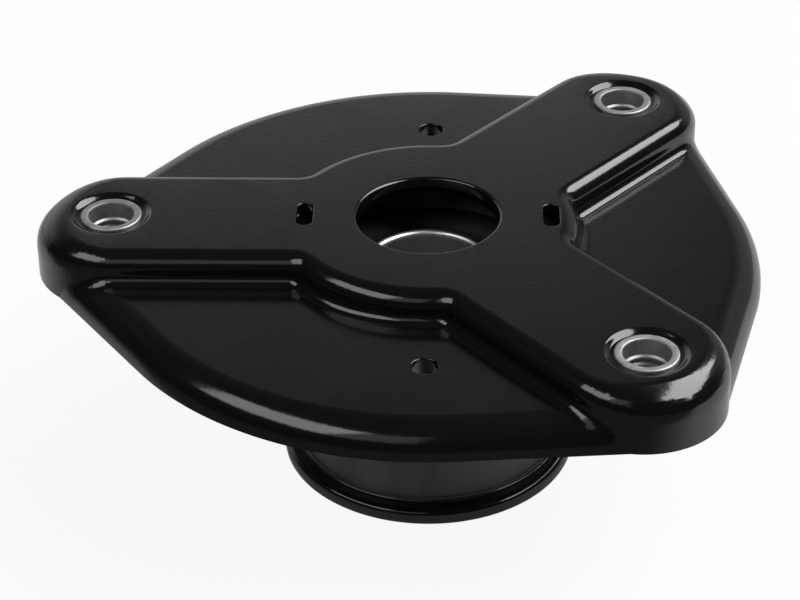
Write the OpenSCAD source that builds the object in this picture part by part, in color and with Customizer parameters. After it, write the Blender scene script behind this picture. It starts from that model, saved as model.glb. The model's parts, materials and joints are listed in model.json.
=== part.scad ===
// Strut mount: a pressed steel plate with a raised three-arm boss and three press-in
// threaded nuts, over a drawn steel pot in which a bonded rubber bush holds a steel cup.
// Origin: on the strut axis, in the plane of the raised boss's flat top. +Z is up.
// +X points between the two right-hand arms, the third arm lies along -X. Millimetres.

/* [Pressed plate] */
// Radius of the pan at its lower edge
pan_r = 80; // [77:0.5:84]
// Radius of the pan's rounded rim, from the lobes down to the lower edge
rim_r = 7.5; // [6:0.1:9]
// Thickness of the pressed sheet
sheet_t = 2.5; // [1.8:0.1:3]
// Radius of the centre hole that a socket for the rod nut passes through
access_r = 17.1; // [16.6:0.1:19]

/* [Raised boss] */
// Angle of the rear and front arms from the X axis
arm_angle = 49.7; // [47:0.1:54]
// Half width of an arm at its wall
arm_half_w = 20.1; // [19:0.1:21]
// Radius of the hub at its wall
hub_r = 36.4; // [35:0.1:38]
// Height of the boss above the lobes
step_h = 7.1; // [6.6:0.1:8]
// Radius of the boss's rounded shoulder
shoulder_r = 4.2; // [3.4:0.1:4.4]
// Radius of the shoulder where it runs round the end of an arm
end_shoulder_r = 7.2; // [6:0.1:7.6]

/* [Press nuts] */
// Distance of the nuts from the strut axis
nut_circle_r = 76; // [74:0.5:79]
// Radius of the tapped hole, before its thread
tap_r = 4.25; // [3.4:0.05:4.4]
// Radius of the spigot that is pressed into the plate
spigot_r = 7.35; // [7:0.05:7.6]
// Depth of the plain lead-in above the thread
lead_in_d = 4.2; // [2:0.1:6]
// Depth of the dish that is pressed round each nut
dish_d = 1; // [0.6:0.1:1.4]

/* [Slots and drain holes] */
// Distance of the two slots from the strut axis
slot_x = 29.5; // [28:0.1:30.5]
// Width of a slot
slot_w = 3.9; // [3:0.1:4.4]
// Length of a slot
slot_l = 10; // [8:0.1:12]
// Distance of the two drain holes from the strut axis
drain_y = 54; // [50:0.5:60]
// Radius of a drain hole
drain_r = 3.1; // [2.5:0.1:4]

/* [Pot] */
// Height of the whole part, from the lip to the boss's flat top
total_h = 66; // [60:0.5:72]
// Room between the pot's wall and the inside of the hub's wall
pot_gap = 1.8; // [1.2:0.1:3]
// Thickness of the pot's sheet
pot_t = 2.1; // [1.8:0.1:2.6]
// How far the pot's folded lip stands out
lip_w = 4; // [3:0.1:5]
// Outer radius of the pot's upper corner
pot_corner_r = 1.6; // [1:0.1:2]
// How far the pot's closed end falls from its flat middle to its wall
pot_fall = 1.2; // [0.8:0.1:1.5]

/* [Bush and cup] */
// Outer radius of the steel cup
cup_r = 15.6; // [15:0.1:16]
// Thickness of the cup's wall
cup_t = 1.6; // [1.2:0.1:2.2]
// Depth of the cup's rim below the boss's flat top
cup_top = 13.5; // [11:0.1:15]
// Height of the cup's underside above the lip
cup_clear = 10; // [8:0.5:14]
// Thickness of the cup's floor, on which the strut rod's shoulder bears
floor_t = 4; // [3:0.1:5]
// Radius of the hole for the strut rod
rod_r = 7.1; // [6.1:0.05:8.1]
// Radius of the grooves in the rubber's two ends
groove_r = 4.5; // [3.5:0.1:5]

/* [Hidden] */
$fn = 64;
arc_fn = 28;
arm_angles = [180, arm_angle, -arm_angle];
// The boss's foot radius takes what its shoulder and a short straight wall leave of the step.
wall_h = 0.3;
foot_r = step_h - shoulder_r - wall_h;
// The arm ends are round about a point a little inside the nut.
end_in = 1.9;
end_x = nut_circle_r - end_in;
// The wider shoulder at an arm's end is turned about a point nearer the hub, so that it fades
// into the shoulder of the arm's sides. It stands a hair outside the wall and above the flat.
end_back = 4;
end_out = 0.06;
end_lift = 0.02;
// The pan's straight sides run a little inside its round rim and inside the arm ends' walls,
// and a hair below its flat.
side_in = 0.15;
side_end_in = 0.5;
side_drop = 0.04;
side_d = pan_r - side_in;
side_r = arm_half_w - side_end_in;
side_angle = acos((side_d - side_r) / end_x);
side_len = end_x * sin(side_angle);
side_depth = 16;
pan_z = -step_h - rim_r;
// The foot's rounding ends where the pan's rim begins to fall.
foot_clear = 5;
foot_x = round((pan_r - rim_r - foot_clear - sin(side_angle) * arm_half_w) / cos(side_angle) * 10) / 10;
foot_turn = 0.5;
foot_dip = 0.04;
foot_trim = 0.4;
// The arms lie this much below the hub.
arm_drop = 0.04;
// The arms' walls start inside the hub.
arm_x = round(hub_r * 7) / 10;
// The dish round a nut: a flat floor beside the spigot, and a sloping edge.
dish_floor_w = 0.8;
dish_slope_w = 1.75;
dish_floor_r = spigot_r + dish_floor_w;
dish_edge_r = dish_floor_r + dish_slope_w;
// The dish is wider on the sheet's inner face. Its cutting body stands a hair above the flat.
dish_grow = 1.6;
dish_past = 0.07;
seat_z = -dish_d - sheet_t;
// The nut's collar stays inside the dish's inner face, its ring lies just below the boss's flat
// top and its end just above the pan's lower edge.
collar_w = 1.4;
collar_r = dish_floor_r + collar_w;
lead_in_w = 1.15;
lead_in_r = tap_r + lead_in_w;
nut_sink = 0.3;
nut_top = -nut_sink;
nut_clear = 0.6;
nut_low = pan_z + nut_clear;
spigot_edge = 0.4;
collar_edge = 0.6;
pot_r = hub_r - sheet_t - pot_gap;
pot_top = -sheet_t;
pot_low = -total_h;
lip_h = 2 * pot_t;
lip_r = pot_r + lip_w;
lip_top_r = 1.8;
lip_low_r = 1.2;
lip_fillet_r = 1.2;
mouth_r = 1;
pot_hole_in = 0.6;
pot_hole_r = access_r + pot_hole_in;
// The closed end's flat middle, which the plate rests on, and the corner inside the pot.
pot_flat_w = 8.3;
pot_flat_r = pot_hole_r + pot_flat_w;
pot_inner_r = 1.9;
pot_in_x = pot_r - pot_t - pot_inner_r;
pot_in_z = pot_top - pot_t - pot_inner_r;
cup_low = pot_low + cup_clear;
bush_r = pot_r - pot_t;
bush_mid = (bush_r + cup_r) / 2;
// The rubber ends below the cup's rim and above its underside.
bush_sink = 2.5;
bush_lift = 3;
bush_top = -cup_top - bush_sink;
bush_low = cup_low + bush_lift;
cup_corner_r = 1.5;
cup_rim_r = 0.4;
cup_mouth_r = 1;
// How far a cutting body runs past the faces it cuts.
past = 1;
// How far the bodies of the sheet's two faces run below the pan's lower edge before they are cut.
outer_below = 3;
inner_below = 5;
cut_h = 8;
// Depth below a face from which a punch starts, and its length.
punch_below = 6;
punch_h = 9;
paint = [0.05, 0.05, 0.055];
bright = [0.62, 0.62, 0.62];
steel = [0.72, 0.72, 0.72];
rubber = [0.03, 0.03, 0.03];

// A block's corner at [0, 0] that is to be taken away to leave a convex rounding of radius r.
module round_off(r) {
  translate([-r, -r]) difference() {
    square(r + past);
    circle(r = r, $fn = arc_fn);
  }
}

// Half section of the boss, from its middle at X = 0 to its wall at X = w. Y is height. The
// sheet's outer face has inset 0 and its inner face has an inset of the sheet's thickness.
module wall_section(inset, low, w, drop = 0, r = shoulder_r) {
  difference() {
    translate([0, low]) square([w, -inset - drop - low]);
    translate([w, -inset - drop]) round_off(r - inset);
  }
}

// The rounded foot of a wall at X = w. Its arc dips a little below the lobe, so that it ends there.
module foot(inset, low, w) {
  f = foot_r + inset;
  lobe = -step_h - inset;
  difference() {
    translate([w - foot_turn, low]) square([f + foot_turn, lobe + f - foot_dip - low]);
    translate([w + f, lobe + f - foot_dip]) circle(r = f, $fn = arc_fn);
    translate([w + f - foot_trim, low]) square([past, lobe + f - low]);
  }
}

// The half section with its foot.
module foot_section(inset, low, w, drop = 0) {
  wall_section(inset, low, w, drop);
  foot(inset, low, w);
}

// Half section of the pan, from X = 0 to its rounded rim at X = w.
module rim_section(inset, low, w) {
  difference() {
    translate([0, low]) square([w, -step_h - inset - low]);
    translate([w, -step_h - inset]) round_off(rim_r - inset);
  }
}

// A length of a half section and its mirror image, along +X.
module along(len) {
  rotate([90, 0, 90]) linear_extrude(height = len) {
    children();
    mirror([1, 0]) children();
  }
}

// The end of the foot on one side of an arm, turned about a line just inside the wall.
module foot_end(inset, low) {
  translate([foot_x, arm_half_w - inset - foot_turn, 0])
    rotate_extrude(angle = 90, start = 0) foot(inset, low, foot_turn);
}

// The round end of an arm, with its middle on the Z axis.
module arm_end(inset, low, w) {
  intersection() {
    rotate_extrude(angle = 180, start = -90) wall_section(inset, low, w, arm_drop);
    translate([-end_back, 0, 0]) rotate_extrude()
      wall_section(inset, low - past, w + end_back + end_out, arm_drop - end_lift, end_shoulder_r);
  }
}

// One arm of the boss, along +X.
module arm(inset, low) {
  w = arm_half_w - inset;
  translate([arm_x, 0, 0]) along(foot_x - arm_x) foot_section(inset, low, w, arm_drop);
  translate([foot_x, 0, 0]) along(end_x - foot_x) wall_section(inset, low, w, arm_drop);
  translate([end_x, 0, 0]) arm_end(inset, low, w);
  for (m = [0, 1]) mirror([0, m, 0]) foot_end(inset, low);
}

// The pan: its round middle and a straight side on each side of each arm.
module pan(inset, low) {
  rotate_extrude() rim_section(inset, low, pan_r - inset);
  for (a = arm_angles) for (m = [0, 1]) rotate(a) mirror([0, m, 0]) rotate(side_angle)
    translate([side_d - inset - side_depth, 0, -side_drop])
      rotate([90, 0, 0]) linear_extrude(height = side_len) rim_section(inset, low, side_depth);
}

// The dish round each nut, as a body to be taken away.
module dishes(inset) {
  grow = inset > 0 ? dish_grow : 0;
  for (a = arm_angles) rotate(a) translate([nut_circle_r, 0, -inset - dish_d])
    cylinder(r1 = dish_floor_r + grow, r2 = dish_edge_r + grow, h = dish_d + dish_past);
}

// The pan with the hub, and with as many of the arms as count says, one joined at a time.
module raised(inset, low, count) {
  if (count == 0) {
    pan(inset, low);
    rotate_extrude() foot_section(inset, low, hub_r - inset);
  } else union() {
    raised(inset, low, count - 1);
    rotate(arm_angles[count - 1]) arm(inset, low);
  }
}

// Everything below one face of the sheet is inside this body.
module pressed_form(inset, low) {
  difference() {
    raised(inset, low, len(arm_angles));
    dishes(inset);
  }
}

// A slot with round ends, along Y.
module slot() {
  r = slot_w / 2;
  linear_extrude(height = punch_h, center = true) {
    square([slot_w, slot_l - slot_w], center = true);
    for (s = [-1, 1]) translate([0, s * (slot_l / 2 - r)]) circle(r = r);
  }
}

// The pressed plate.
module top_plate() {
  color(paint) difference() {
    pressed_form(0, pan_z - outer_below);
    pressed_form(sheet_t, pan_z - inner_below);
    translate([0, 0, pan_z - cut_h]) cylinder(r = 2 * pan_r, h = cut_h);
    translate([0, 0, -punch_below]) cylinder(r = access_r, h = punch_h);
    for (s = [-1, 1]) translate([s * slot_x, 0, 0]) slot();
    for (s = [-1, 1]) translate([0, s * drain_y, -step_h - punch_below])
      cylinder(r = drain_r, h = punch_h);
    for (a = arm_angles) rotate(a) translate([nut_circle_r, 0, -punch_below])
      cylinder(r = spigot_r, h = punch_h);
  }
}

// A press nut on the Z axis: spigot, collar under the sheet, lead-in and tapped hole.
module press_nut() {
  color(bright) rotate_extrude() difference() {
    union() {
      translate([tap_r, nut_low]) square([spigot_r - tap_r, nut_top - nut_low]);
      translate([tap_r, nut_low]) square([collar_r - tap_r, seat_z - nut_low]);
    }
    translate([0, nut_top - lead_in_d]) square([lead_in_r, lead_in_d + past]);
    translate([spigot_r, nut_top]) round_off(spigot_edge);
    translate([collar_r, nut_low]) mirror([0, 1]) round_off(collar_edge);
  }
}

module press_nut_at(a) {
  rotate(a) translate([nut_circle_r, 0, 0]) press_nut();
}

// The drawn pot: closed end up, under the hub, with a folded lip round its mouth.
module pot() {
  color(paint) rotate_extrude($fn = 72) difference() {
    union() {
      translate([pot_r - pot_t, pot_low]) square([pot_t, pot_top - pot_low]);
      translate([pot_hole_r, pot_top - pot_t]) square([pot_r - pot_hole_r, pot_t]);
      difference() {
        translate([pot_in_x, pot_in_z]) square(pot_inner_r + pot_t / 4);
        translate([pot_in_x, pot_in_z]) circle(r = pot_inner_r, $fn = arc_fn);
      }
      translate([pot_r - pot_t, pot_low]) square([lip_w + pot_t, lip_h]);
      difference() {
        translate([pot_r - pot_t / 4, pot_low + lip_h - pot_t / 4]) square(lip_fillet_r + pot_t / 4);
        translate([pot_r + lip_fillet_r, pot_low + lip_h + lip_fillet_r])
          circle(r = lip_fillet_r, $fn = arc_fn);
      }
    }
    polygon([[pot_flat_r, pot_top], [pot_r, pot_top - pot_fall], [pot_r + past, pot_top - pot_fall],
      [pot_r + past, pot_top + past], [pot_flat_r, pot_top + past]]);
    translate([pot_r, pot_top - pot_fall]) round_off(pot_corner_r);
    translate([lip_r, pot_low + lip_h]) round_off(lip_top_r);
    translate([lip_r, pot_low]) mirror([0, 1]) round_off(lip_low_r);
    translate([pot_r - pot_t, pot_low]) mirror([1, 0]) mirror([0, 1]) round_off(mouth_r);
  }
}

// The bonded rubber between the pot and the cup, with a groove in each end.
module rubber_bush() {
  color(rubber) rotate_extrude($fn = 72) difference() {
    translate([cup_r, bush_low]) square([bush_r - cup_r, bush_top - bush_low]);
    translate([bush_mid, bush_top]) circle(r = groove_r, $fn = arc_fn);
    translate([bush_mid, bush_low]) circle(r = groove_r, $fn = arc_fn);
  }
}

// The steel cup that the strut rod is bolted to.
module inner_cup() {
  color(steel) rotate_extrude($fn = 72) difference() {
    translate([rod_r, cup_low]) square([cup_r - rod_r, -cup_top - cup_low]);
    translate([0, cup_low + floor_t]) square([cup_r - cup_t, total_h]);
    translate([cup_r, cup_low]) mirror([0, 1]) round_off(cup_corner_r);
    translate([cup_r, -cup_top]) round_off(cup_rim_r);
    translate([cup_r - cup_t, -cup_top]) mirror([1, 0]) round_off(cup_mouth_r);
  }
}

top_plate();
press_nut_at(180);  // press_nut_left
press_nut_at(arm_angle);  // press_nut_rear
press_nut_at(-arm_angle);  // press_nut_front
pot();
rubber_bush();
inner_cup();
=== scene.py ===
# %% [markdown]
# # A strut mount in gloss black
# The part is the top mount of a car's suspension strut. A pressed steel plate with a raised
# boss of three arms carries three press nuts. Under it hangs a drawn pot, and in the pot a
# rubber bush holds the steel cup for the strut's rod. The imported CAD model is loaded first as
# a fixed frame. Every piece is then modelled again in its place, because gloss black shows
# each facet of a CAD mesh, and a clean mesh with true roundings does not.

# %% Load the frame
import json
import math

import bpy
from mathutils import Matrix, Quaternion, Vector
from mathutils.geometry import delaunay_2d_cdt


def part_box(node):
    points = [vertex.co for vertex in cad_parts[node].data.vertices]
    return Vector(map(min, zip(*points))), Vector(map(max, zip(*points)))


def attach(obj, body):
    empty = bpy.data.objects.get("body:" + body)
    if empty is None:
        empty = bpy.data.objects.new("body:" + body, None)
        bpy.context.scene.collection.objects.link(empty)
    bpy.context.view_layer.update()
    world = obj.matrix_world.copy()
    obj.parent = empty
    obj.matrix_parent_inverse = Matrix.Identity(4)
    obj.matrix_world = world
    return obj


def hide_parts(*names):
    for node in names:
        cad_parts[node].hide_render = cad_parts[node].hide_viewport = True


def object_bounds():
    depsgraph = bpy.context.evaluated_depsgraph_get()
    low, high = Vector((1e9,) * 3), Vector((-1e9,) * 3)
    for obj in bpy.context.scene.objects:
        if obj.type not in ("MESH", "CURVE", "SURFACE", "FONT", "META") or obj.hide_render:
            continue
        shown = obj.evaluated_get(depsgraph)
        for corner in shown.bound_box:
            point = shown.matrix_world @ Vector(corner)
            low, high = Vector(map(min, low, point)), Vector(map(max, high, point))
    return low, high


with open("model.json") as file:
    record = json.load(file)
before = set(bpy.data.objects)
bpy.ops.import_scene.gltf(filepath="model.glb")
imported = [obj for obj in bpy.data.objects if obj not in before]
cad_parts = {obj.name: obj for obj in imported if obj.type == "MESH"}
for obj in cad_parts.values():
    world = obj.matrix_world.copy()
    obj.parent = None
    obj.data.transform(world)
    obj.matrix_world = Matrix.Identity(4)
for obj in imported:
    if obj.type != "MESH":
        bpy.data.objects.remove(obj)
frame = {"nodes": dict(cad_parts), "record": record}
cad_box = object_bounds()
MM = 0.001
mounts = {m["name"]: m for m in frame["record"]["mounts"]}
print("nodes in the frame:", sorted(frame["nodes"]))


def mm_box(node):
    """Lowest and highest corner of a CAD node, in millimetres."""
    low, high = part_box(node)
    return [c / MM for c in low], [c / MM for c in high]


# %% [markdown]
# ## Sizes
# The frame gives what it can: the plate's height and reach, the nuts' places, the pot's and
# the cup's radii. The roundings of the pressing are written here, in millimetres, because a
# box does not show them. The origin is on the strut's axis, level with the boss's flat top.

# %% Sizes of the pressing
plate_low, plate_high = mm_box("top_plate")
pan_low = plate_low[2]
nut_mounts = ("thread_left", "thread_rear", "thread_front")
nut_places = [Vector(mounts[n]["pos_m"][:2]) / MM for n in nut_mounts]
arm_turns = sorted(math.atan2(p.y, p.x) % math.tau for p in nut_places)
access_r = mounts["access_bore"]["dims"]["r_mm"]
sheet_t = mounts["access_bore"]["dims"]["length_mm"]
pan_r = plate_high[1]
arm_half_w = 20.1
end_x = -plate_low[0] - arm_half_w
hub_r = 36.4
step_h = 7.1
shoulder_r = 4.2
end_shoulder_r = 7.2
foot_r = 2.6
rim_r = -pan_low - step_h
corner_r = 4.0
side_in = 0.5
side_r = arm_half_w - side_in
hole_edge = 0.8
small_edge = 0.3
print("arm turns", [round(math.degrees(t), 1) for t in arm_turns])
print("the arms' ends are round about a point", round(end_x, 1), "mm from the axis")

# %% [markdown]
# ## Camera
# The camera stands where the photographer stood: a little right of the middle, about 31
# degrees up, with a long lens that keeps the plate's far side nearly as large as its near one.

# %% Camera
camera_place = Vector((8.70, -543.59, 327.89)) * MM
camera_aim = Vector((-6.57, -11.00, -17.34)) * MM
camera_roll = math.radians(-0.592)
camera_lens = 119.4
sensor_width = 36

lens = bpy.data.cameras.new("camera")
lens.lens = camera_lens
lens.sensor_width = sensor_width
camera = bpy.data.objects.new("camera", lens)
bpy.context.scene.collection.objects.link(camera)
camera.location = camera_place
look_back = (camera_place - camera_aim).to_track_quat("Z", "Y")
camera.rotation_mode = "QUATERNION"
camera.rotation_quaternion = look_back @ Quaternion((0, 0, 1), camera_roll)
bpy.context.scene.camera = camera
print("camera stands", round((camera_place - camera_aim).length, 3), "m from its aim")

# %% [markdown]
# ## Helpers for the modelling
# Faces and edges are picked by their place, as a hand would pick them in the viewport.


# %% Selection helpers
def start_clean():
    """Object mode with nothing selected."""
    if bpy.context.mode != "OBJECT":
        bpy.ops.object.mode_set(mode="OBJECT")
    bpy.ops.object.select_all(action="DESELECT")


def make_active(piece):
    start_clean()
    piece.select_set(True)
    bpy.context.view_layer.objects.active = piece


def pick_edges(piece, wanted):
    """Selects the edges whose two ends, in millimetres, satisfy wanted. Ends in edit mode."""
    make_active(piece)
    bpy.ops.object.mode_set(mode="EDIT")
    bpy.ops.mesh.select_mode(type="EDGE")
    bpy.ops.mesh.select_all(action="DESELECT")
    bpy.ops.object.mode_set(mode="OBJECT")
    points = [v.co / MM for v in piece.data.vertices]
    picked = 0
    for edge in piece.data.edges:
        edge.select = all(wanted(points[i]) for i in edge.vertices)
        picked += edge.select
    bpy.ops.object.mode_set(mode="EDIT")
    return picked


def face_outwards(piece):
    """Turns all normals of a closed mesh outwards."""
    make_active(piece)
    bpy.ops.object.mode_set(mode="EDIT")
    bpy.ops.mesh.select_all(action="SELECT")
    bpy.ops.mesh.normals_make_consistent(inside=False)
    bpy.ops.object.mode_set(mode="OBJECT")


def finish_shading(piece, angle=32):
    """Smooth shading that keeps flats flat: face areas weigh the normals."""
    make_active(piece)
    bpy.ops.object.shade_smooth_by_angle(angle=math.radians(angle))
    weigh = piece.modifiers.new("weigh", "WEIGHTED_NORMAL")
    weigh.keep_sharp = True
    bpy.ops.object.modifier_apply(modifier=weigh.name)


# %% [markdown]
# ## Turned pieces
# The nuts, the pot, the bush and the cup are round about an axis, so each is a section that
# is spun. A circle primitive already is a closed ring of vertices: its vertices are moved to
# the corners of the section, and Spin turns it once round. Sharp corners are then picked by
# their radius and height and bevelled, as a lathe hand breaks an edge.

# %% Spin a section
seam_weld = 0.001
ring_near = 0.02


def turn(name, section, facets):
    """A piece turned about Z from a closed section of (radius, height) points in millimetres."""
    start_clean()
    bpy.ops.mesh.primitive_circle_add(vertices=len(section), radius=1)
    piece = bpy.context.object
    piece.name = name
    piece.data.name = name
    for vertex, (r, z) in zip(piece.data.vertices, section):
        vertex.co = (r * MM, 0, z * MM)
    bpy.ops.object.mode_set(mode="EDIT")
    bpy.ops.mesh.select_all(action="SELECT")
    bpy.ops.mesh.spin(steps=facets, angle=math.tau, center=(0, 0, 0), axis=(0, 0, 1))
    bpy.ops.mesh.select_all(action="SELECT")
    bpy.ops.mesh.remove_doubles(threshold=seam_weld * MM)
    bpy.ops.object.mode_set(mode="OBJECT")
    face_outwards(piece)
    return piece


def break_ring(piece, r, z, size, segments):
    """Bevels the ring of edges at one radius and height."""

    def on_edge(p):
        return abs(p.z - z) < ring_near and abs(math.hypot(p.x, p.y) - r) < ring_near

    pick_edges(piece, on_edge)
    bpy.ops.mesh.bevel(offset=size * MM, segments=segments, profile=0.5, affect="EDGES")
    bpy.ops.object.mode_set(mode="OBJECT")


# %% [markdown]
# ## The pressed plate
# The plate is one sheet. Its boss stands a step above the lobes, with a rounded shoulder and
# a rounded foot, and its rim turns down in a quarter round. Bevels cannot make this: where an
# arm meets the rim, the foot has to run out over a surface that is itself curved, across
# edges shorter than the bevel. So the sheet is drawn the way a press sees it. Its outlines
# are laid flat as loops, one for each step of each rounding, a triangulation joins them, and
# each point is then raised to the height that the tool gives it there.


# %% Points along lines
def around(centre, r, start, end, count):
    """Points along an arc, both ends included."""
    turns = [start + (end - start) * i / count for i in range(count + 1)]
    return [Vector((centre[0] + r * math.cos(t), centre[1] + r * math.sin(t))) for t in turns]


def along(a, b, count):
    """Points between a and b, the ends left out."""
    return [a.lerp(b, i / count) for i in range(1, count)]


def turned(points, turn_by):
    c, s = math.cos(turn_by), math.sin(turn_by)
    return [Vector((p.x * c - p.y * s, p.x * s + p.y * c)) for p in points]


# %% Outline of the boss
corner_steps, arm_steps, tip_steps, hub_steps = 8, 8, 48, 16
corner_y = arm_half_w + corner_r
corner_x = math.sqrt((hub_r + corner_r) ** 2 - corner_y**2)
corner_turn = math.atan2(corner_y, corner_x)
wide_turn, narrow_turn = math.radians(20), math.radians(88)
arm_gaps = [(arm_turns[(i + 1) % 3] - t) % math.tau for i, t in enumerate(arm_turns)]


def shoulder_at(turn_here):
    """The shoulder's radius at a turn round an arm's end: wide at the tip, narrow beside it."""
    x = (abs(turn_here) - wide_turn) / (narrow_turn - wide_turn)
    x = min(max(x, 0), 1)
    return end_shoulder_r + (shoulder_r - end_shoulder_r) * x * x * (3 - 2 * x)


def boss_line(grow, share=0, inset=0):
    """The boss's closed outline, grown by so many millimetres, less a share of its shoulder."""
    side_grow = grow - share * (shoulder_r - inset)
    bend, bend_r = (corner_x, corner_y), corner_r - side_grow
    line = []
    for t, gap in zip(arm_turns, arm_gaps):
        left = around(bend, bend_r, 1.5 * math.pi, math.pi + corner_turn, corner_steps)
        right = [Vector((p.x, -p.y)) for p in reversed(left)]
        tip = around((end_x, 0), 1, -math.pi / 2, math.pi / 2, tip_steps)
        for p in tip:
            shoulder = shoulder_at(math.atan2(p.y, p.x - end_x)) - inset
            reach = arm_half_w + grow - share * shoulder
            p.x = end_x + (p.x - end_x) * reach
            p.y = p.y * reach
        arm = right + along(right[-1], tip[0], arm_steps) + tip
        arm += along(tip[-1], left[0], arm_steps) + left
        hub = around((0, 0), hub_r + side_grow, corner_turn, gap - corner_turn, hub_steps)
        line += turned(arm + hub[1:-1], t)
    return line


print("boss outline:", len(boss_line(0)), "points")

# %% Outlines of the pan and the holes
pan_tip_steps, pan_side_steps, pan_steps = 24, 14, 40
ring_steps, access_steps, slot_steps = 48, 96, 12
side_turn = math.acos((pan_r - side_r) / end_x)


def pan_line(grow):
    """The pan's closed outline, grown by so many millimetres: round, with straight sides."""
    line = []
    for t, gap in zip(arm_turns, arm_gaps):
        tip = around((end_x, 0), side_r + grow, -side_turn, side_turn, pan_tip_steps)
        middle = around((0, 0), pan_r + grow, side_turn, gap - side_turn, pan_steps)
        next_tip = turned(tip[:1], gap)[0]
        to_middle = along(tip[-1], middle[0], pan_side_steps)
        to_next = along(middle[-1], next_tip, pan_side_steps)
        line += turned(tip + to_middle + middle + to_next, t)
    return line


def ring_line(centre, r, count=ring_steps):
    return around(centre, r, 0, math.tau, count)[:-1]


def slot_line(centre, half_w, half_l, grow):
    r = half_w + grow
    reach = half_l - half_w
    ends = around((0, reach), r, 0, math.pi, slot_steps)
    ends += around((0, -reach), r, math.pi, math.tau, slot_steps)
    return [p + Vector(centre) for p in ends]


print("pan outline:", len(pan_line(0)), "points")

# %% Distances to the outlines
corner_band = 8
tip_near = 0.1


def from_boss(p):
    """Signed distance to the boss's wall, negative inside."""
    bend = Vector((corner_x, corner_y))
    best = p.length - hub_r
    for t in arm_turns:
        q = turned([p], -t)[0]
        q.y = abs(q.y)
        from_bend = (q - bend).length
        in_corner = 0 < q.x < corner_x and q.y < corner_y
        in_corner = in_corner and math.atan2(q.y, q.x) < corner_turn
        at_wall = q.length > hub_r - corner_band and q.y > arm_half_w - corner_band
        if in_corner and at_wall and from_bend < hub_r + corner_r:
            return corner_r - from_bend
        reach = Vector((min(max(q.x, 0), end_x), 0))
        best = min(best, (q - reach).length - arm_half_w)
    return best


def shoulder_here(p):
    """The shoulder's radius nearest to a point: wide only round the ends of the arms."""
    for t in arm_turns:
        q = turned([p], -t)[0]
        if q.x > end_x and math.hypot(q.x - end_x, q.y) > tip_near:
            return shoulder_at(math.atan2(q.y, q.x - end_x))
    return shoulder_r


def from_pan(p):
    """Signed distance to the pan's lower edge, negative inside."""
    outward = Vector((math.cos(side_turn), math.sin(side_turn)))
    sideways = Vector((-outward.y, outward.x))
    side_l = end_x * math.sin(side_turn)
    best = p.length - pan_r
    for t in arm_turns:
        q = turned([p], -t)[0]
        q.y = abs(q.y)
        if q.x > end_x and math.atan2(q.y, q.x - end_x) < side_turn:
            best = min(best, math.hypot(q.x - end_x, q.y) - side_r)
        elif -side_l < q.dot(sideways) < 0:
            best = min(best, q.dot(outward) - pan_r)
    return best


print("the axis lies", round(-from_boss(Vector((0, 0))), 1), "mm inside the boss's wall")


# %% [markdown]
# A quarter round is the same sum wherever it is used: how far the surface has dropped at a
# distance from the edge where it is vertical. The dishes round the nuts are smooth steps.

# %% Drops of the roundings, the holes and the dishes
slot_x, slot_half_w, slot_half_l = 29.5, 1.95, 5.0
drain_y, drain_r = 54.0, 3.1
spigot_r = 7.35
dish_d, dish_floor_r, dish_edge_r = 1.0, 8.1, 9.9
dish_spread = 0.6
slots = [(-slot_x, 0), (slot_x, 0)]
drains = [(0, -drain_y), (0, drain_y)]
edge_snap = 0.01


def drop(inside, r):
    """Drop of a quarter round of radius r at a distance inside its vertical edge."""
    if inside >= r:
        return 0
    if inside < edge_snap:
        return r
    return r - math.sqrt(r * r - (r - inside) ** 2)


def from_slot(p, centre):
    q = p - Vector(centre)
    reach = slot_half_l - slot_half_w
    return math.hypot(q.x, max(abs(q.y) - reach, 0)) - slot_half_w


def hole_drop(p):
    """Drop of the softened edges of the punched holes."""
    fall = drop(p.length - access_r, hole_edge)
    for c in slots:
        fall = max(fall, drop(from_slot(p, c), small_edge))
    for c in drains:
        fall = max(fall, drop((p - Vector(c)).length - drain_r, small_edge))
    return fall


def dish_drop(p, grow):
    fall = 0
    for c in nut_places:
        x = (dish_edge_r + grow - (p - c).length) / (dish_edge_r - dish_floor_r)
        x = min(max(x, 0), 1)
        fall = max(fall, dish_d * x * x * (3 - 2 * x))
    return fall


print(len(slots), "slots,", len(drains), "drain holes,", len(nut_places), "dishes")


# %% Heights of the sheet
def boss_height(p, inset):
    """Height of the boss's face. Inset is 0 outside and the sheet's thickness inside."""
    inside = -(from_boss(p) + inset)
    soft = hole_drop(p) if inset == 0 else 0
    fall = drop(inside, shoulder_here(p) - inset)
    return -inset - fall - dish_drop(p, dish_spread * inset) - soft


def lobe_height(p, inset):
    """Height of the lobes and the rim, with the foot of the boss's wall."""
    rim = rim_r - inset
    foot = foot_r + inset
    fall = drop(-(from_pan(p) + inset), rim)
    rise = drop(from_boss(p) + inset, foot) * (1 - fall / rim)
    soft = hole_drop(p) if inset == 0 else 0
    return -step_h - inset - fall + rise - soft


def quarter(r, count):
    """Distances from the vertical edge at which a quarter round's loops lie."""
    return [r * (1 - math.cos(math.pi / 2 * i / count)) for i in range(count + 1)]


# %% Loops of one face
edge_steps, shoulder_steps, foot_steps, rim_steps, dish_steps = 4, 10, 8, 10, 6
collar_t, collar_h = 1.2, 1.6


def face_outlines(inset):
    """The outlines that bound the boss, the pan and then each hole."""
    outlines = [boss_line(-inset), pan_line(-inset), ring_line((0, 0), access_r, access_steps)]
    outlines += [slot_line(c, slot_half_w, slot_half_l, 0) for c in slots]
    outlines += [ring_line(c, drain_r + (collar_t if inset else 0)) for c in drains]
    outlines += [ring_line(c, spigot_r) for c in nut_places]
    return outlines


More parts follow.
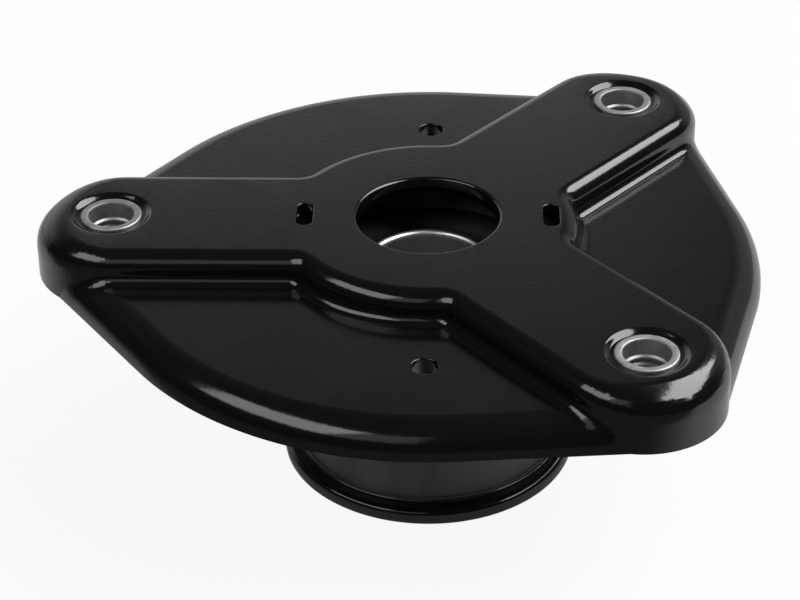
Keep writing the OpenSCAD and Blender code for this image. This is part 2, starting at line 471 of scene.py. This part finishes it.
def face_loops(inset):
    """The loops along each rounding, one for each of its steps."""
    loops = [boss_line(-inset, share, inset) for share in quarter(1, shoulder_steps)[1:]]
    loops += [boss_line(-inset + d) for d in quarter(foot_r + inset, foot_steps)[1:]]
    loops += [pan_line(-inset - d) for d in quarter(rim_r - inset, rim_steps)[1:]]
    for d in quarter(1, edge_steps)[1:] if inset == 0 else []:
        loops.append(ring_line((0, 0), access_r + hole_edge * d, access_steps))
        loops += [slot_line(c, slot_half_w, slot_half_l, small_edge * d) for c in slots]
        loops += [ring_line(c, drain_r + small_edge * d) for c in drains]
    for i in range(dish_steps + 1):
        slope = (dish_edge_r - dish_floor_r) * i / dish_steps
        loops += [ring_line(c, dish_floor_r + dish_spread * inset + slope) for c in nut_places]
    return loops


print("loops outside:", len(face_loops(0)), "and inside:", len(face_loops(sheet_t)))


# %% Lay the loops flat and join them
first_hole = 2
flat_near = 1e-5


def part_of(owners):
    """The part that a triangle lies on, from the outlines round it: none in a hole."""
    if any(o >= first_hole for o in owners):
        return None
    return "boss" if 0 in owners else "lobe" if 1 in owners else None


def flat_triangles(inset):
    """Points and triangles of one face, still flat, and the part of each triangle."""
    outlines = face_outlines(inset)
    points, edges, faces = [], [], []
    for n, line in enumerate(outlines + face_loops(inset)):
        ring = list(range(len(points), len(points) + len(line)))
        points += line
        if n < len(outlines):
            faces.append(ring)
        else:
            edges += zip(ring, ring[1:] + ring[:1])
    flat, _, tris, _, _, owners = delaunay_2d_cdt(points, edges, faces, 0, flat_near)
    return flat, tris, [part_of(o) for o in owners]


# %% Raise one face to its height
wall_near = 0.2


def sheet_face(inset):
    """Vertices and faces of one face of the sheet, in millimetres."""
    flat, tris, parts = flat_triangles(inset)
    verts, index, faces = [], {}, []

    def vert(i, part):
        if (i, part) not in index:
            p = flat[i]
            z = pan_low
            if part != "low":
                z = boss_height(p, inset) if part == "boss" else lobe_height(p, inset)
            index[i, part] = len(verts)
            verts.append((p.x, p.y, z))
        return index[i, part]

    sides = {}
    for tri, part in zip(tris, parts):
        if part:
            faces.append([vert(i, part) for i in tri])
            for a, b in zip(tri, tri[1:] + tri[:1]):
                sides[a, b] = part
    for (a, b), part in sides.items():
        middle = (flat[a] + flat[b]) / 2
        on_wall = part == "boss" and abs(from_boss(middle) + inset) < wall_near
        if on_wall and sides.get((b, a)) != "boss":
            below = ["lobe" if (i, "lobe") in index else "low" for i in (a, b)]
            wall = [vert(b, "boss"), vert(a, "boss"), vert(a, below[0]), vert(b, below[1])]
            faces.append(wall)
    return verts, faces


outer_verts, outer_faces = sheet_face(0)
inner_verts, inner_faces = sheet_face(sheet_t)
print("outer face:", len(outer_verts), "vertices, inner face:", len(inner_verts))

# %% [markdown]
# The two faces become one object. Its open edges face each other in pairs, round each hole
# and along the lower edge, and Bridge Edge Loops closes each pair with the wall of the sheet.
# The two small holes are dark inside in the photograph, so the sheet is drawn down round them
# into short collars.

# %% Join the faces into a sheet
quad_fold, quad_skew = math.radians(20), math.radians(60)
plate_mesh = bpy.data.meshes.new("pressed_plate")
plate_verts = [Vector(v) * MM for v in outer_verts + inner_verts]
plate_faces = outer_faces + [[i + len(outer_verts) for i in reversed(f)] for f in inner_faces]
plate_mesh.from_pydata(plate_verts, [], plate_faces)
plate = bpy.data.objects.new("pressed_plate", plate_mesh)
bpy.context.scene.collection.objects.link(plate)

make_active(plate)
bpy.ops.object.mode_set(mode="EDIT")
bpy.ops.mesh.select_all(action="SELECT")
bpy.ops.mesh.tris_convert_to_quads(face_threshold=quad_fold, shape_threshold=quad_skew)
bpy.ops.object.mode_set(mode="OBJECT")
print("plate:", len(plate.data.polygons), "faces before its edges are closed")

# %% Collars and edges of the sheet
outline_near = 0.01
low_near = 0.001


def on_ring(centre, r):
    return lambda p: abs((p.xy - Vector(centre)).length - r) < outline_near


def draw_collar(centre):
    """Draws the inner face down round a small hole, and then in to the hole's own radius."""
    picked = pick_edges(plate, on_ring(centre, drain_r + collar_t))
    narrow = drain_r / (drain_r + collar_t)
    bpy.ops.mesh.extrude_edges_move(TRANSFORM_OT_translate={"value": (0, 0, -collar_h * MM)})
    bpy.ops.mesh.extrude_edges_move(TRANSFORM_OT_translate={"value": (0, 0, 0)})
    bpy.ops.transform.resize(
        value=(narrow, narrow, 1),
        center_override=(centre[0] * MM, centre[1] * MM, 0),
    )
    bpy.ops.object.mode_set(mode="OBJECT")
    return picked


def rounded(p):
    return tuple(round(c, 6) for c in p)


def open_places():
    """Where the plate's open edges end, in millimetres."""
    use = {}
    for polygon in plate.data.polygons:
        for key in polygon.edge_keys:
            use[key] = use.get(key, 0) + 1
    ends = {i for key, count in use.items() if count == 1 for i in key}
    return {rounded(plate.data.vertices[i].co / MM) for i in ends}


def close_pair(wanted):
    """Bridges the two open loops whose points satisfy wanted."""
    places = open_places()
    picked = pick_edges(plate, lambda p: wanted(p) and rounded(p) in places)
    bpy.ops.mesh.bridge_edge_loops()
    bpy.ops.object.mode_set(mode="OBJECT")
    return picked


# %% Close the sheet
for c in drains:
    print("drew a collar from", draw_collar(c), "edges")
pairs = [on_ring((0, 0), access_r)] + [on_ring(c, drain_r) for c in drains]
pairs += [on_ring(c, spigot_r) for c in nut_places]
pairs += [lambda p, c=c: abs(from_slot(p.xy, c)) < outline_near for c in slots]
pairs += [lambda p: p.z < pan_low + low_near]
for wanted in pairs:
    print("bridged", close_pair(wanted), "open edges")
face_outwards(plate)
finish_shading(plate, angle=40)

# %% [markdown]
# ## The press nuts
# Each nut is turned steel with a zinc coat: a spigot that shows as a ring in the plate, a
# collar below, a plain lead-in and then the thread. The thread is a ridge swept down a helix
# inside the turned wall. It is laid point by point, because it has to run out into the wall
# at both ends. One nut is modelled on the axis, and two copies with meshes of their own go to
# the other places.

# %% Thread ridge
nut_facets = 72
pitch = 1.5
root_half_w, crest_half_w = 0.44 * pitch, 0.125 * pitch
ridge_sunk, ridge_start = 0.15, 0.05
run_out = 0.75 * nut_facets


def thread_ridge(name, crest_r, root_r, high, low):
    """A right-hand ridge that winds down inside a hole, with a run-out at each end."""
    steps = round(((high - low) / pitch - 1) * nut_facets)
    sunk_r = root_r + ridge_sunk
    points, faces = [], []
    for k in range(steps + 1):
        angle = -math.tau * k / nut_facets
        c, s = math.cos(angle), math.sin(angle)
        z = high - pitch / 2 - pitch * k / nut_facets
        grown = min(1, k / run_out, (steps - k) / run_out)
        tip_r = root_r + ridge_start + (crest_r - root_r - ridge_start) * grown
        tooth = [(sunk_r, root_half_w), (tip_r, crest_half_w)]
        tooth += [(r, -half_w) for r, half_w in reversed(tooth)]
        points += [Vector((r * c, r * s, z + dz)) * MM for r, dz in tooth]
        if k:
            old, new = 4 * k - 4, 4 * k
            for i, j in ((0, 1), (1, 2), (2, 3), (3, 0)):
                faces.append((old + i, old + j, new + j, new + i))
    faces += [(3, 2, 1, 0), tuple(4 * steps + i for i in range(4))]
    mesh = bpy.data.meshes.new(name)
    mesh.from_pydata(points, [], faces)
    ridge = bpy.data.objects.new(name, mesh)
    bpy.context.scene.collection.objects.link(ridge)
    face_outwards(ridge)
    return ridge


# %% Turn the nut
nut_low, nut_high = mm_box("press_nut_left")
tap_r = mounts["thread_left"]["dims"]["r_mm"]
lead_in_r = mounts["lead_left"]["dims"]["r_mm"]
lead_in_low = nut_high[2] - mounts["lead_left"]["dims"]["length_mm"]
collar_r = (nut_high[1] - nut_low[1]) / 2
seat_z = -dish_d - sheet_t
thread_d = 0.7
thread_r = tap_r + thread_d
step_fall = 0.45
step_low = lead_in_low - step_fall
collar_edge, spigot_edge, lead_in_edge = 0.6, 0.4, 0.55
nut_section = [
    (thread_r, nut_low[2]),
    (collar_r, nut_low[2]),
    (collar_r, seat_z),
    (spigot_r, seat_z),
    (spigot_r, nut_high[2]),
    (lead_in_r, nut_high[2]),
    (lead_in_r, lead_in_low),
    (thread_r, step_low),
]
nut = turn("nut_left", nut_section, nut_facets)
break_ring(nut, collar_r, nut_low[2], collar_edge, segments=3)
break_ring(nut, spigot_r, nut_high[2], spigot_edge, segments=3)
break_ring(nut, lead_in_r, nut_high[2], lead_in_edge, segments=2)
print("nut turned with", len(nut.data.polygons), "faces")

# %% Cut the thread and set the nuts in place
thread_weld = 0.01
ridge = thread_ridge("thread", tap_r, thread_r, step_low, nut_low[2])
make_active(nut)
unite = nut.modifiers.new("unite", "BOOLEAN")
unite.operation = "UNION"
unite.solver = "EXACT"
unite.object = ridge
bpy.ops.object.modifier_apply(modifier=unite.name)
bpy.data.objects.remove(ridge)
bpy.ops.object.mode_set(mode="EDIT")
bpy.ops.mesh.select_all(action="SELECT")
bpy.ops.mesh.remove_doubles(threshold=thread_weld * MM)
bpy.ops.mesh.dissolve_degenerate(threshold=thread_weld * MM)
bpy.ops.object.mode_set(mode="OBJECT")
finish_shading(nut)
nuts = [nut]
for name in ("nut_rear", "nut_front"):
    copy = nut.copy()
    copy.data = nut.data.copy()
    copy.name = name
    bpy.context.scene.collection.objects.link(copy)
    nuts.append(copy)
for piece, place in zip(nuts, nut_places):
    make_active(piece)
    piece.location = (place.x * MM, place.y * MM, 0)
    bpy.ops.object.transform_apply(location=True, rotation=False, scale=False)
print("nuts at", [tuple(round(c, 1) for c in p) for p in nut_places])

# %% [markdown]
# ## The pot
# A deep-drawn pot with its closed end against the plate and a folded lip round its mouth. The
# closed end is flat only in its middle, and falls a little to its corner.

# %% Pot
pot_low, pot_high = mm_box("pot")
lip_r = pot_high[0]
lip_w = 4
pot_r = lip_r - lip_w
pot_t = 2.1
lip_top = pot_low[2] + 2 * pot_t
hole_in, flat_w = 0.6, 8.3
pot_hole_r = access_r + hole_in
pot_fall = 1.2
inside_r = pot_r - pot_t
inside_top = pot_high[2] - pot_t
pot_section = [
    (pot_hole_r, pot_high[2]),
    (pot_hole_r + flat_w, pot_high[2]),
    (pot_r, pot_high[2] - pot_fall),
    (pot_r, lip_top),
    (lip_r, lip_top),
    (lip_r, pot_low[2]),
    (inside_r, pot_low[2]),
    (inside_r, inside_top),
    (pot_hole_r, inside_top),
]
pot = turn("drawn_pot", pot_section, facets=144)
break_ring(pot, pot_r, pot_high[2] - pot_fall, size=0.5, segments=3)
break_ring(pot, inside_r, inside_top, size=1.9, segments=5)
break_ring(pot, pot_r, lip_top, size=1.2, segments=5)
break_ring(pot, lip_r, lip_top, size=1.8, segments=6)
break_ring(pot, lip_r, pot_low[2], size=1.2, segments=5)
break_ring(pot, inside_r, pot_low[2], size=1, segments=4)
finish_shading(pot)
print("pot", round(2 * pot_r, 1), "mm across, lip", round(2 * lip_r, 1))

# %% [markdown]
# ## The rubber bush and the cup
# The rubber fills the ring between the pot and the cup, with a groove moulded in each end.
# The cup shows through the access hole, as a bright rim over a dark inside.

# %% Rubber bush
bush_low, bush_high = mm_box("rubber_bush")
cup_low, cup_high = mm_box("inner_cup")
bush_r = bush_high[0]
cup_r = cup_high[0]
groove_r, groove_steps = 4.5, 12
groove_mid = (bush_r + cup_r) / 2
groove_turns = [math.pi * i / groove_steps for i in range(groove_steps + 1)]
groove = [(groove_r * math.cos(t), groove_r * math.sin(t)) for t in groove_turns]
bush_section = [(cup_r, bush_low[2])]
bush_section += [(groove_mid - x, bush_low[2] + z) for x, z in groove]
bush_section += [(bush_r, bush_low[2]), (bush_r, bush_high[2])]
bush_section += [(groove_mid + x, bush_high[2] - z) for x, z in groove]
bush_section += [(cup_r, bush_high[2])]
bush = turn("rubber_ring", bush_section, facets=96)
finish_shading(bush)
print("bush between radii", round(cup_r, 1), "and", round(bush_r, 1), "mm")

# %% Cup
cup_t = 1.6
floor_t = mounts["rod_bore"]["dims"]["length_mm"]
rod_r = mounts["rod_bore"]["dims"]["r_mm"]
cup_section = [
    (rod_r, cup_low[2]),
    (cup_r, cup_low[2]),
    (cup_r, cup_high[2]),
    (cup_r - cup_t, cup_high[2]),
    (cup_r - cup_t, cup_low[2] + floor_t),
    (rod_r, cup_low[2] + floor_t),
]
cup = turn("steel_cup", cup_section, facets=96)
break_ring(cup, cup_r, cup_low[2], size=1.5, segments=4)
break_ring(cup, cup_r, cup_high[2], size=0.4, segments=3)
break_ring(cup, cup_r - cup_t, cup_high[2], size=1, segments=5)
finish_shading(cup)
print("cup rim at", round(cup_high[2], 1), "mm")

# %% [markdown]
# ## Finishes
# The paint is a thick gloss black that shows its surroundings like a dark mirror, with a
# faint orange peel. The pot wears a thinner coat: glossy on the lip, satin on the drawn wall,
# which is painted lighter and streaked as a painted sheen and painted reflections, and dull on
# the closed end, which is painted darker as shade so that the slots stay black. The nuts are
# satin zinc, painted darker down inside the bore as shade; the cup is bare steel, painted
# lighter at its rim and darker inside as painted highlight and shade; the rubber is dull.
# Each finish takes its pattern from Object coordinates.


# %% Pattern helpers
def finish(name):
    material = bpy.data.materials.new(name)
    material.use_nodes = True
    nodes = material.node_tree.nodes
    return material, nodes, material.node_tree.links, nodes["Principled BSDF"]


def noise(nodes, links, scale, detail=2.0, stretch=None):
    """Noise on Object coordinates, which stretch may scale along each axis first."""
    place = nodes.new("ShaderNodeTexCoord").outputs["Object"]
    if stretch:
        scaled = nodes.new("ShaderNodeVectorMath")
        scaled.operation = "MULTIPLY"
        scaled.inputs[1].default_value = stretch
        links.new(place, scaled.inputs[0])
        place = scaled.outputs["Vector"]
    grain = nodes.new("ShaderNodeTexNoise")
    grain.inputs["Scale"].default_value = scale
    grain.inputs["Detail"].default_value = detail
    links.new(place, grain.inputs["Vector"])
    return grain.outputs["Fac"]


def span(nodes, links, source, low, high):
    """Maps a pattern from 0 to 1 onto a range."""
    node = nodes.new("ShaderNodeMapRange")
    node.inputs["To Min"].default_value = low
    node.inputs["To Max"].default_value = high
    links.new(source, node.inputs["Value"])
    return node.outputs["Result"]


def ramp(nodes, links, source, stops):
    """Colours along a value from 0 to 1: stops are (position, colour), rising."""
    node = nodes.new("ShaderNodeValToRGB")
    while len(node.color_ramp.elements) < len(stops):
        node.color_ramp.elements.new(0.5)
    for stop, (position, colour) in zip(node.color_ramp.elements, stops):
        stop.position = position
        stop.color = colour
    links.new(source, node.inputs["Fac"])
    return node.outputs["Color"]


def grey(level):
    return (level, level, level, 1)


# %% Height, product and relief helpers
def by_height(nodes, links, stops):
    """A grey level that follows the height of a point: stops are (millimetres, level), rising."""
    axes = nodes.new("ShaderNodeSeparateXYZ")
    links.new(nodes.new("ShaderNodeTexCoord").outputs["Object"], axes.inputs[0])
    low, high = stops[0][0], stops[-1][0]
    share = nodes.new("ShaderNodeMapRange")
    share.inputs["From Min"].default_value = low * MM
    share.inputs["From Max"].default_value = high * MM
    links.new(axes.outputs["Z"], share.inputs["Value"])
    levels = [((z - low) / (high - low), grey(level)) for z, level in stops]
    return ramp(nodes, links, share.outputs["Result"], levels)


def times(nodes, links, one, other):
    """Two colours multiplied."""
    mix = nodes.new("ShaderNodeMix")
    mix.data_type = "RGBA"
    mix.blend_type = "MULTIPLY"
    mix.inputs["Factor"].default_value = 1
    links.new(one, mix.inputs["A"])
    links.new(other, mix.inputs["B"])
    return mix.outputs["Result"]


def relief(nodes, links, source, shader, strength, distance=0.0002):
    bump = nodes.new("ShaderNodeBump")
    bump.inputs["Strength"].default_value = strength
    bump.inputs["Distance"].default_value = distance
    links.new(source, bump.inputs["Height"])
    links.new(bump.outputs["Normal"], shader.inputs["Normal"])


# %% Gloss black paint
paint, nodes, links, shader = finish("gloss_black_paint")
shader.inputs["Base Color"].default_value = (0.004, 0.004, 0.0042, 1)
shader.inputs["IOR"].default_value = 1.7
cloud = noise(nodes, links, scale=60)
links.new(span(nodes, links, cloud, 0.10, 0.17), shader.inputs["Roughness"])
peel = noise(nodes, links, scale=900)
relief(nodes, links, peel, shader, strength=0.08)
print("finish:", paint.name)

# %% Paint on the pot
pot_paint, nodes, links, shader = finish("satin_black_paint")
wall_low, wall_high, end_low = lip_top + 2, -12, -9
heights = (lip_top, wall_low, wall_high, end_low)
# The drawn wall is painted lighter than the lip, a painted sheen for what it mirrors, and darker
# towards the closed end, a painted shade.
coat_and_sheen_levels, gloss_levels = (0.004, 0.1, 0.1, 0.002), (0.13, 0.42, 0.42, 0.9)
coat_and_painted_sheen = by_height(nodes, links, list(zip(heights, coat_and_sheen_levels)))
# Streaks stretched along the height: painted reflections on the wall.
painted_reflection_streaks = noise(nodes, links, scale=110, detail=3, stretch=(1, 1, 0.12))
painted_streak_tone = span(nodes, links, painted_reflection_streaks, 0.1, 2.1)
links.new(times(nodes, links, coat_and_painted_sheen, painted_streak_tone), shader.inputs["Base Color"])
gloss = by_height(nodes, links, list(zip(heights, gloss_levels)))
links.new(gloss, shader.inputs["Roughness"])
shader.inputs["Specular IOR Level"].default_value = 0.8
mottle = noise(nodes, links, scale=220, detail=3)
relief(nodes, links, mottle, shader, strength=0.1)
print("finish:", pot_paint.name)

# %% Painted shade on the pot's closed end
painted_slot_shade, nodes, links, shader = finish("dull_black_primer")
# Darker and duller than the paint: a painted shade that keeps the slots black.
shader.inputs["Base Color"].default_value = grey(0.002)
shader.inputs["Roughness"].default_value = 0.9
shader.inputs["Specular IOR Level"].default_value = 0.05
print("finish:", painted_slot_shade.name)

# %% Satin zinc
zinc, nodes, links, shader = finish("satin_zinc")
shader.inputs["Metallic"].default_value = 1
grain = noise(nodes, links, scale=700, detail=4)
tone = ramp(nodes, links, grain, [(0, grey(0.36)), (1, grey(0.64))])
# Darker in the thread and a little darker on the lead-in wall, full tone on the ledge between and
# at the top: painted shade inside the bore.
bore_shade_levels = [
    (step_low - 0.6, 0.45),
    (step_low, 1.0),
    (lead_in_low, 1.0),
    (lead_in_low + 0.2, 0.8),
    (nut_high[2] - 0.7, 0.8),
    (nut_high[2] - 0.4, 1.0),
]
painted_bore_shade = by_height(nodes, links, bore_shade_levels)
links.new(times(nodes, links, tone, painted_bore_shade), shader.inputs["Base Color"])
links.new(span(nodes, links, grain, 0.42, 0.58), shader.inputs["Roughness"])
relief(nodes, links, grain, shader, strength=0.2)
print("finish:", zinc.name)

# %% Bare turned steel
steel, nodes, links, shader = finish("turned_steel")
shader.inputs["Metallic"].default_value = 1
grain = noise(nodes, links, scale=500, detail=4)
tone = ramp(nodes, links, grain, [(0, (0.75, 0.75, 0.74, 1)), (1, (1.0, 1.0, 0.99, 1))])
# Lighter at the top of the rim and darker down the inside: a painted highlight and painted shade.
dark_below, bright_above = cup_high[2] - 1.6, cup_high[2] - 1.1
rim = by_height(nodes, links, [(dark_below, 0.62), (bright_above, 1.0)])
links.new(times(nodes, links, tone, rim), shader.inputs["Base Color"])
links.new(span(nodes, links, grain, 0.32, 0.46), shader.inputs["Roughness"])
relief(nodes, links, grain, shader, strength=0.15)
print("finish:", steel.name)

# %% Rubber
rubber, nodes, links, shader = finish("dull_rubber")
shader.inputs["Base Color"].default_value = grey(0.012)
dust = noise(nodes, links, scale=300, detail=3)
links.new(span(nodes, links, dust, 0.55, 0.8), shader.inputs["Roughness"])
relief(nodes, links, dust, shader, strength=0.2, distance=0.0003)
print("finish:", rubber.name)

# %% [markdown]
# ## Dressing the frame
# Each new piece stands for its CAD node, which is hidden, rides on the part's one body and
# takes one of the finishes above.

# %% Ride, replace and paint
dressed = [
    (plate, "top_plate", "black_paint", paint),
    (nuts[0], "press_nut_left", "zinc", zinc),
    (nuts[1], "press_nut_rear", "zinc", zinc),
    (nuts[2], "press_nut_front", "zinc", zinc),
    (pot, "pot", "black_paint", pot_paint),
    (bush, "rubber_bush", "rubber", rubber),
    (cup, "inner_cup", "bare_steel", steel),
]
for piece, node, slot, material in dressed:
    piece.data.materials.clear()
    piece.data.materials.append(material)
    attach(piece, "root")
    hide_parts(node)
    print(piece.name, "stands for", node, "with", len(piece.data.polygons), "faces")

# %% Painted shade under the plate
pot.data.materials.append(painted_slot_shade)
for polygon in pot.data.polygons:
    if polygon.center.z > end_low * MM:
        polygon.material_index = 1
print("dull faces on the pot:", sum(p.material_index for p in pot.data.polygons))

# %% [markdown]
# ## Light
# Gloss black has hardly any colour of its own: its look is what it mirrors. The floor is
# white to the camera. To all other rays it is a grey card that darkens to the front left, a
# painted shadow, so that the walls that face the camera mirror something dark. The room is
# dark, with a glow behind the part that fades to the right and that the flat faces mirror.
# Three soft boxes draw the bright lines along the shoulders and the feet of the boss.


# %% Light helpers
def maths(nodes, links, operation, *values):
    """A Math node, whose values are numbers or the sockets that give them."""
    node = nodes.new("ShaderNodeMath")
    node.operation = operation
    for socket, value in zip(node.inputs, values):
        if isinstance(value, float):
            socket.default_value = value
        else:
            links.new(value, socket)
    return node.outputs[0]


def fade(nodes, links, source, start, end, low, high):
    """Maps a value from start to end onto low to high, with soft ends."""
    node = nodes.new("ShaderNodeMapRange")
    node.interpolation_type = "SMOOTHSTEP"
    node.inputs["From Min"].default_value = start
    node.inputs["From Max"].default_value = end
    node.inputs["To Min"].default_value = low
    node.inputs["To Max"].default_value = high
    links.new(source, node.inputs["Value"])
    return node.outputs["Result"]


# %% Floor
floor_half = 4.0
start_clean()
bpy.ops.mesh.primitive_plane_add(size=2 * floor_half, location=(0, 0, cad_box[0][2]))
floor = bpy.context.object
floor.name = "floor"
print("floor at", round(cad_box[0][2] / MM, 1), "mm")

# %% White to the camera, a grey card to the rest
camera_share, mirror_share, card_white = 0.92, 0.3, 0.9
# The grey card darkens to the front left: a painted shadow on the floor, which the walls mirror.
lit_way = (0.35, 0.937, 0)
dark_edge, lit_edge = -0.13, -0.03
dark_tone, lit_tone = 0.08, 0.6

white_floor, nodes, links, shader = finish("white_floor")
nodes.remove(shader)
across = nodes.new("ShaderNodeVectorMath")
across.operation = "DOT_PRODUCT"
across.inputs[1].default_value = lit_way
links.new(nodes.new("ShaderNodeTexCoord").outputs["Object"], across.inputs[0])
side = across.outputs["Value"]
lit_side = fade(nodes, links, side, dark_edge, lit_edge, dark_tone, lit_tone)

ray = nodes.new("ShaderNodeLightPath").outputs
mirrored = maths(nodes, links, "MAXIMUM", ray["Is Glossy Ray"], ray["Is Transmission Ray"])
mirror_glow = maths(nodes, links, "MULTIPLY", lit_side, mirror_share)
mirrored = maths(nodes, links, "MULTIPLY", mirrored, mirror_glow)
share = maths(nodes, links, "MULTIPLY_ADD", ray["Is Camera Ray"], camera_share, mirrored)

card_tone = nodes.new("ShaderNodeMix")
card_tone.data_type = "RGBA"
card_tone.inputs["B"].default_value = grey(card_white)
links.new(lit_side, card_tone.inputs["A"])
links.new(ray["Is Camera Ray"], card_tone.inputs["Factor"])
card = nodes.new("ShaderNodeBsdfDiffuse")
links.new(card_tone.outputs["Result"], card.inputs["Color"])
glow = nodes.new("ShaderNodeEmission")
blend = nodes.new("ShaderNodeMixShader")
links.new(share, blend.inputs["Fac"])
links.new(card.outputs[0], blend.inputs[1])
links.new(glow.outputs[0], blend.inputs[2])
links.new(blend.outputs[0], nodes["Material Output"].inputs["Surface"])
floor.data.materials.append(white_floor)
print("floor finish:", white_floor.name)

# %% Surroundings
sky_levels = [
    (0.0, 0.75),
    (0.40, 0.62),
    (0.48, 0.34),
    (0.52, 0.20),
    (0.56, 0.12),
    (0.66, 0.05),
    (1.0, 0.03),
]
behind_start, behind_end = 0.30, 0.80
right_start, right_end, right_level = 0.03, 0.12, 0.35
room_level = 0.03

world = bpy.data.worlds.new("studio")
bpy.context.scene.world = world
world.use_nodes = True
nodes, links = world.node_tree.nodes, world.node_tree.links
axes = nodes.new("ShaderNodeSeparateXYZ")
links.new(nodes.new("ShaderNodeTexCoord").outputs["Generated"], axes.inputs[0])
sky = ramp(nodes, links, axes.outputs["Z"], [(z, grey(level)) for z, level in sky_levels])
behind = fade(nodes, links, axes.outputs["Y"], behind_start, behind_end, 0, 1)
to_right = fade(nodes, links, axes.outputs["X"], right_start, right_end, 1, right_level)
room = nodes.new("ShaderNodeMix")
room.data_type = "RGBA"
room.inputs["A"].default_value = grey(room_level)
links.new(maths(nodes, links, "MULTIPLY", behind, to_right), room.inputs["Factor"])
links.new(sky, room.inputs["B"])
links.new(room.outputs["Result"], nodes["Background"].inputs["Color"])
print("room:", world.name)

# %% Soft boxes
box_distance = 1.5


def soft_box(name, azimuth, elevation, wide, tall, radiance):
    """A rectangular lamp that faces the part: its place and size in degrees from there."""
    turn_by, rise = math.radians(azimuth), math.radians(elevation)
    level = math.cos(rise)
    direction = Vector((level * math.cos(turn_by), level * math.sin(turn_by), math.sin(rise)))
    width = 2 * box_distance * math.tan(math.radians(wide / 2))
    height = 2 * box_distance * math.tan(math.radians(tall / 2))
    light = bpy.data.lights.new(name, "AREA")
    light.shape = "RECTANGLE"
    light.size = width
    light.size_y = height
    light.energy = radiance * math.pi * width * height
    lamp = bpy.data.objects.new(name, light)
    bpy.context.scene.collection.objects.link(lamp)
    lamp.location = direction * box_distance
    lamp.rotation_euler = direction.to_track_quat("Z", "Y").to_euler()
    print(name, round(width, 2), "by", round(height, 2), "m")


soft_box("box_right", azimuth=11, elevation=52, wide=62, tall=33, radiance=5.5)
soft_box("box_left", azimuth=-148, elevation=45, wide=42, tall=26, radiance=2.2)
soft_box("box_front_left", azimuth=-108, elevation=40, wide=26, tall=22, radiance=0.4)
bpy.context.scene.view_settings.view_transform = "Standard"
